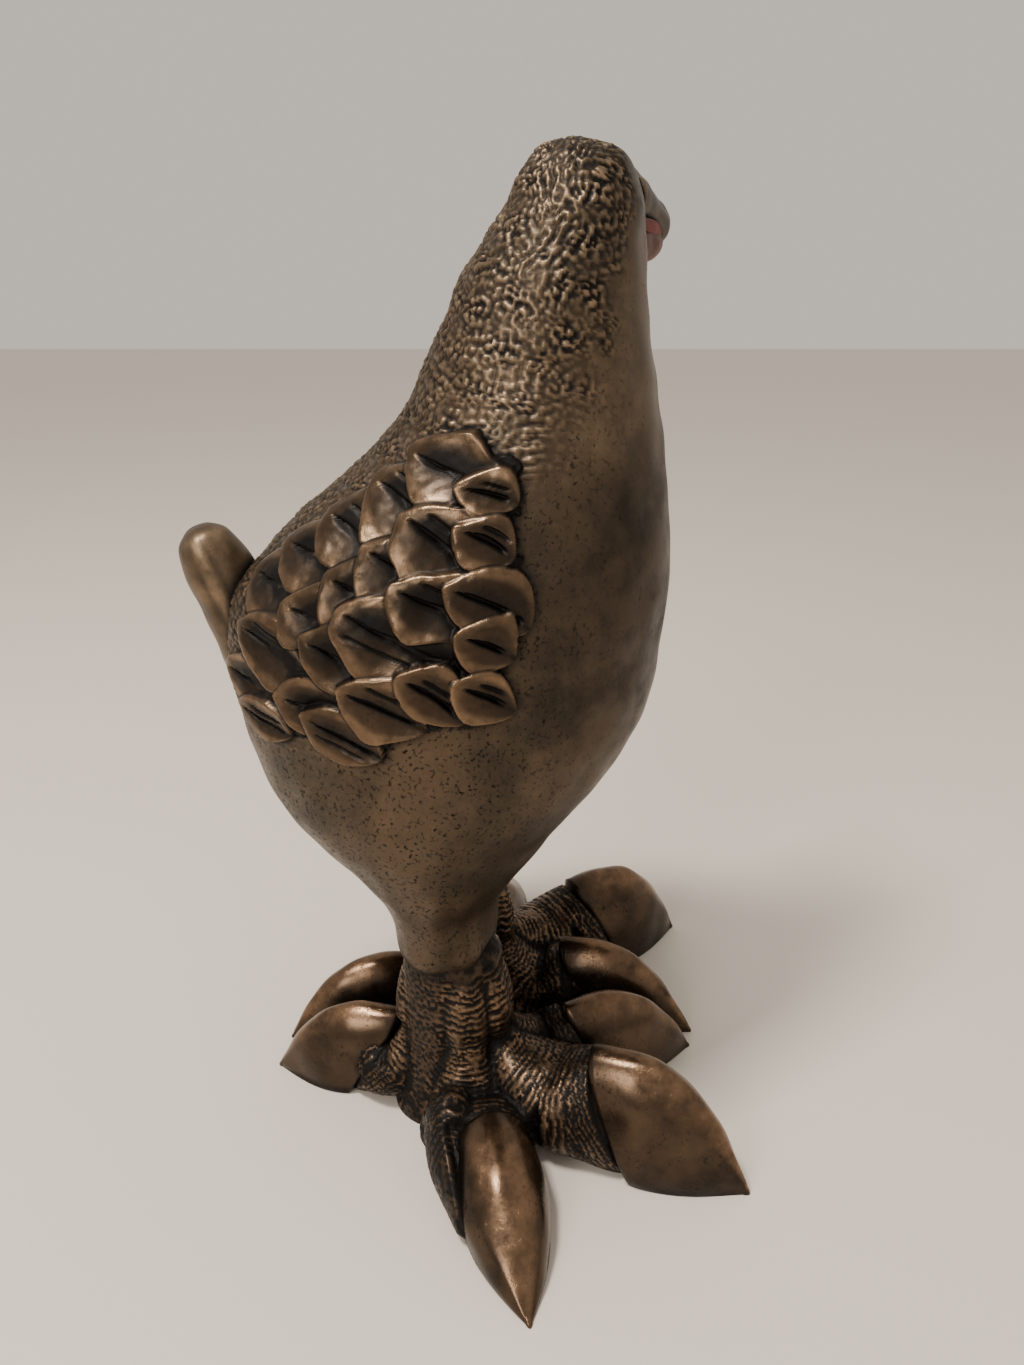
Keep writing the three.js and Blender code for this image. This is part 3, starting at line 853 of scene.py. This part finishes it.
middle, depth, half = section(EYE_LEVEL)
for side, side_name in SIDES:
    way = HEAD_TURN + side * EYE_SPREAD
    centre = place(middle + depth * EYE_SINK * math.cos(way),
                   half * EYE_SINK * math.sin(way), level(EYE_LEVEL))
    out = np.array([math.sin(way), -math.cos(way), 0.0])
    bpy.ops.object.select_all(action="DESELECT")
    bpy.ops.mesh.primitive_uv_sphere_add(
        segments=32, ring_count=20, radius=EYE_DIAMETER / 2, location=centre)
    cast(settled(f"eye_{side_name}", 0))
    bpy.ops.object.select_all(action="DESELECT")
    bpy.ops.mesh.primitive_torus_add(location=centre + out * LID_OUT, major_radius=LID_RADIUS,
                                     minor_radius=LID_GIRTH, major_segments=48, minor_segments=20,
                                     rotation=(math.pi / 2, 0, math.atan2(out[1], out[0]) + math.pi / 2))
    cast(settled(f"eyelid_{side_name}", 0.4))

# %% [markdown]
# Dark wax gathers wherever a brush can't reach, and shade falls in the same places. Curvature can't
# tell where one form stands close to another, such as leaf on leaf or toe beside toe. So a few short
# rays from every point ask how much of the space around it is blocked, and that darkens its recess
# mask as wax and as painted shade.

# %% Crevices between the pieces
from mathutils import Vector
from mathutils.bvhtree import BVHTree

REACH = 7 * MM
START_OVER = 0.3 * MM
SLANTED_RAYS = 5
OPEN = 0.06  # blocked so little, a point counts as open
DARKER = 2.6
made = [bpy.data.objects[getattr(piece, "name", piece)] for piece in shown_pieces()]
made = [obj for obj in made if obj.type == "MESH" and obj.name != NODE]
all_points, all_faces = [], []
for obj in made:
    start = len(all_points)
    all_points += get(obj).tolist()
    all_faces += [[start + v for v in face.vertices] for face in obj.data.polygons]
tree = BVHTree.FromPolygons(all_points, all_faces)


def crevices(obj):
    points, normals = get(obj), get(obj, "normal")
    aside = np.cross(normals, [0.31, 0.52, 0.79])
    aside /= np.linalg.norm(aside, axis=1, keepdims=True)
    other = np.cross(normals, aside)
    blocked = np.zeros(len(points))
    starts = [Vector(p) for p in points + normals * START_OVER]
    angles = np.arange(SLANTED_RAYS) * 2 * math.pi / SLANTED_RAYS
    ways = [normals] + [0.6 * normals + 0.8 * (aside * math.cos(k) + other * math.sin(k)) for k in angles]
    for way in ways:
        for i, (start, ray) in enumerate(zip(starts, way.tolist())):
            hit = tree.ray_cast(start, Vector(ray), REACH)[3]
            if hit is not None:
                blocked[i] += 1 - hit / REACH
    return neighbours(obj, blocked / len(ways), 2)


for obj in made:
    if obj.name.startswith(("eye_", "mouth")):
        continue
    near = crevices(obj)
    recess, ridge = (np.empty(len(near)) for _ in range(2))
    obj.data.attributes["recess"].data.foreach_get("value", recess)
    obj.data.attributes["ridge"].data.foreach_get("value", ridge)
    # Painted shade where the space round a point is blocked, which also stands for the wax there.
    dark = np.clip((near - OPEN) * DARKER, 0, 1)
    masks(obj, recess + dark, ridge * (1 - dark))
print("crevices shaded on", len(made), "pieces")

# %% [markdown]
# Finishes. A bronze patina is three colours: dark wax left in the recesses, brown metal, and copper
# where hands rub the ridges. The dark colour also carries painted shade between and under forms, the
# breast gets painted shade and the throat a painted sheen. The masks painted on the points drive the
# mix, and noise breaks it up.
# Shader maths reads best as plain expressions, so a small class turns them into Math nodes.


# %% Shader expressions
class Wire:
    def __init__(self, tree, socket):
        self.tree, self.socket = tree, socket

    def math(self, operation, *values, clamp=False):
        node = self.tree.nodes.new("ShaderNodeMath")
        node.operation = operation
        node.use_clamp = clamp
        for slot, value in zip(node.inputs, values):
            if isinstance(value, Wire):
                self.tree.links.new(value.socket, slot)
            else:
                slot.default_value = value
        return Wire(self.tree, node.outputs[0])

    def __add__(self, other):
        return self.math("ADD", self, other)

    def __mul__(self, other):
        return self.math("MULTIPLY", self, other)

    def __sub__(self, other):
        return self.math("SUBTRACT", self, other)

    def __rsub__(self, other):
        return self.math("SUBTRACT", other, self)

    def clamp(self):
        return self.math("ADD", self, 0.0, clamp=True)

    __radd__ = __add__
    __rmul__ = __mul__


class Finish:
    def __init__(self, name):
        self.material = bpy.data.materials.new(name)
        self.material.use_nodes = True
        self.tree = self.material.node_tree
        self.shader = self.tree.nodes["Principled BSDF"]
        self.spot = self.node("ShaderNodeTexCoord").outputs["Object"]

    def node(self, kind, settings=None, inputs=None):
        node = self.tree.nodes.new(kind)
        for key, value in (settings or {}).items():
            setattr(node, key, value)
        for key, value in (inputs or {}).items():
            if isinstance(value, Wire):
                self.tree.links.new(value.socket, node.inputs[key])
            elif isinstance(value, bpy.types.NodeSocket):
                self.tree.links.new(value, node.inputs[key])
            else:
                node.inputs[key].default_value = value
        return node

    def noise(self, size, detail=3.0, roughness=0.55):
        found = self.node("ShaderNodeTexNoise", inputs={
            "Vector": self.spot, "Scale": 1 / size, "Detail": detail, "Roughness": roughness})
        return Wire(self.tree, found.outputs["Fac"])

    def mask(self, name):
        found = self.node("ShaderNodeAttribute", {"attribute_name": name})
        return Wire(self.tree, found.outputs["Fac"])

    def mix(self, amount, first, second):
        node = self.node("ShaderNodeMix", {"data_type": "RGBA"})
        ends = [s for s in node.inputs if s.type == "RGBA"]
        self.link(amount, node.inputs[0])
        self.link(first, ends[0])
        self.link(second, ends[1])
        return [s for s in node.outputs if s.type == "RGBA"][0]

    def link(self, value, slot):
        if isinstance(value, Wire):
            self.tree.links.new(value.socket, slot)
        elif isinstance(value, bpy.types.NodeSocket):
            self.tree.links.new(value, slot)
        elif isinstance(value, (tuple, list)):
            slot.default_value = (*value, 1.0)
        else:
            slot.default_value = value

    def set(self, name, value):
        self.link(value, self.shader.inputs[name])

    def bump(self, height, distance, strength=1.0):
        node = self.node("ShaderNodeBump", inputs={
            "Distance": distance, "Strength": strength, "Height": height})
        self.tree.links.new(node.outputs["Normal"], self.shader.inputs["Normal"])


# %% Bronze patinas
def patina(name, brown, grey, copper, wax_and_shade, gloss, metal, speck=0.5):
    finish = Finish(name)
    recess, ridge = finish.mask("recess"), finish.mask("ridge")
    dusk, pits = finish.mask("dusk"), finish.mask("pits")
    cloud, patch = finish.noise(34 * MM, 5, 0.62), finish.noise(8 * MM, 5, 0.6)
    grain, fine = finish.noise(1.5 * MM, 4), finish.noise(0.45 * MM, 2)
    colour = finish.mix(((cloud - 0.4) * 4.0).clamp(), brown, grey)
    colour = finish.mix(((patch - 0.48) * 6.0).clamp() * 0.4, colour, tuple(1.7 * c for c in brown))
    # Noise stains, plus the painted shade down the breast and the darker crown tone, darken the colour.
    stain_and_shade = ((cloud * 0.6 + patch * 0.4 - 0.46) * 7.0).clamp() * 0.5 + dusk * 0.45
    colour = finish.mix(stain_and_shade.clamp(), colour, tuple(0.25 * c for c in grey))
    spots = ((grain - 0.55) * 8.0).clamp() * (((patch - 0.45) * 4.0).clamp() * speck + pits * 0.7)
    colour = finish.mix(spots.clamp(), colour, wax_and_shade)
    # Copper where the ridges are rubbed, and also the painted sheen down the throat, from the ridge mask.
    rubbed = (ridge * ((patch - 0.25) * 2.6).clamp() * 1.1).clamp()
    colour = finish.mix(rubbed, colour, copper)
    # The recess mask carries both dark wax and painted shade, and both take the dark colour.
    sunk = (recess * 1.25 + recess * (grain - 0.5) * 0.8 + spots * 0.4).clamp()
    colour = finish.mix(sunk, colour, wax_and_shade)
    finish.set("Base Color", colour)
    finish.set("Metallic", (metal - sunk * (metal * 0.1)).clamp())
    rough = gloss + (patch - 0.5) * 0.35 + (cloud - 0.5) * 0.2 + sunk * 0.2 - rubbed * 0.05 + spots * 0.1
    finish.set("Roughness", rough.clamp())
    finish.bump(grain * 0.5 + fine * 0.35 - spots * 0.9, 0.12 * MM)
    return finish


def dress(obj, finish):
    obj.data.materials.clear()
    obj.data.materials.append(finish.material)


WAX_AND_SHADE = (0.008, 0.0065, 0.006)
# the start of the pieces' names, then the finish: its name, brown, grey, copper, the dark colour of wax
# and painted shade, roughness, metal and speck
LOOKS = {
    "": ("bronze_skin", (0.087, 0.06, 0.038), (0.06, 0.046, 0.032), (0.26, 0.183, 0.115), WAX_AND_SHADE,
         0.42, 0.8, 0.6),
    "wing": ("bronze_leaf", (0.07, 0.046, 0.029), (0.047, 0.034, 0.023), (0.25, 0.16, 0.095), WAX_AND_SHADE,
             0.3, 0.88, 0.4),
    "leg": ("bronze_shank", (0.056, 0.037, 0.024), (0.038, 0.028, 0.02), (0.24, 0.15, 0.09), WAX_AND_SHADE,
            0.34, 0.85, 0.6),
    "claw": ("bronze_nail", (0.076, 0.05, 0.032), (0.036, 0.027, 0.02), (0.24, 0.145, 0.085), WAX_AND_SHADE,
             0.25, 0.88, 0.95),
    "beak": ("beak_patina", (0.072, 0.056, 0.045), (0.055, 0.046, 0.039), (0.17, 0.13, 0.1), WAX_AND_SHADE,
             0.42, 0.55, 0.6),
    "beak_l": ("beak_lower", (0.12, 0.036, 0.026), (0.09, 0.036, 0.027), (0.17, 0.07, 0.05), WAX_AND_SHADE,
               0.5, 0.3, 0.5),
    "mouth": ("mouth_wax", (0.2, 0.03, 0.022), (0.15, 0.026, 0.02), (0.22, 0.04, 0.03),
              (0.03, 0.008, 0.006), 0.62, 0.0, 0.3),
    "eye_": ("eye_gloss", (0.02, 0.014, 0.011), (0.028, 0.02, 0.014), (0.05, 0.034, 0.024), WAX_AND_SHADE,
             0.1, 0.0, 0.1),
}
finishes = {start: patina(*look) for start, look in LOOKS.items()}
for obj in made:
    dress(obj, finishes[max((start for start in LOOKS if obj.name.startswith(start)), key=len)])
print(len(finishes), "finishes on", len(made), "pieces")

# %% [markdown]
# The picture was taken from the bird's right, about half a metre off and looking down 22 degrees.
# The camera stands there, with the same lens. A pale floor and soft warm light from above and to the
# left help give the long sheen on the neck and the dark underside of the breast, which are also
# painted into the skin's colour as a painted sheen and painted shade.

# %% Camera
CAMERA_BACK = 368.8 * MM
CAMERA_UP = 323.05 * MM
CAMERA_PITCH = math.radians(22)
SENSOR = 36
FOCAL = 1040 / 1365 * SENSOR
bpy.ops.object.camera_add(location=(AXIS[0] - CAMERA_BACK, AXIS[1], CAMERA_UP),
                          rotation=(math.pi / 2 - CAMERA_PITCH, 0, -math.pi / 2))
camera = bpy.context.object
camera.data.sensor_fit = "VERTICAL"
camera.data.sensor_height = SENSOR
camera.data.lens = FOCAL
camera.data.clip_start = 0.01
bpy.context.scene.camera = camera
print("camera with a lens of", round(FOCAL, 2), "mm")

# %% Floor and light
FLOOR_COLOURS = (0.78, 0.72, 0.65), (0.8, 0.74, 0.67)
ROOM_COLOUR = (0.95, 0.86, 0.76, 1)
ROOM_STRENGTH = 0.72
bpy.ops.object.select_all(action="DESELECT")
bpy.ops.mesh.primitive_plane_add(size=8, location=(0, 0, 0))
floor = bpy.context.object
floor.name = "floor"
floor_finish = Finish("pale_floor")
floor_finish.set("Base Color", floor_finish.mix(floor_finish.noise(0.2), *FLOOR_COLOURS))
floor_finish.set("Roughness", 0.6)
dress(floor, floor_finish)

world = bpy.data.worlds.new("soft_room")
bpy.context.scene.world = world
world.use_nodes = True
background = world.node_tree.nodes["Background"]
background.inputs["Color"].default_value = ROOM_COLOUR
background.inputs["Strength"].default_value = ROOM_STRENGTH


def lamp(name, spot, aim, size, power, colour):
    way = np.array(aim) - np.array(spot)
    tilt = math.atan2(math.hypot(way[0], way[1]), -way[2])
    heading = math.atan2(way[1], way[0]) - math.pi / 2
    bpy.ops.object.light_add(type="AREA", location=spot, rotation=(tilt, 0, heading))
    light = bpy.context.object
    light.name = name
    light.data.size = size
    light.data.energy = power
    light.data.color = colour
    print(name, "lamp,", power, "W")


WARM = (1.0, 0.93, 0.84)
lamp("ceiling", (-0.3, 0.45, 1.4), (0, 0, 0.15), 0.25, 18, WARM)
lamp("window", (-1.1, 0.7, 0.9), (0, 0, 0.2), 0.5, 7, WARM)
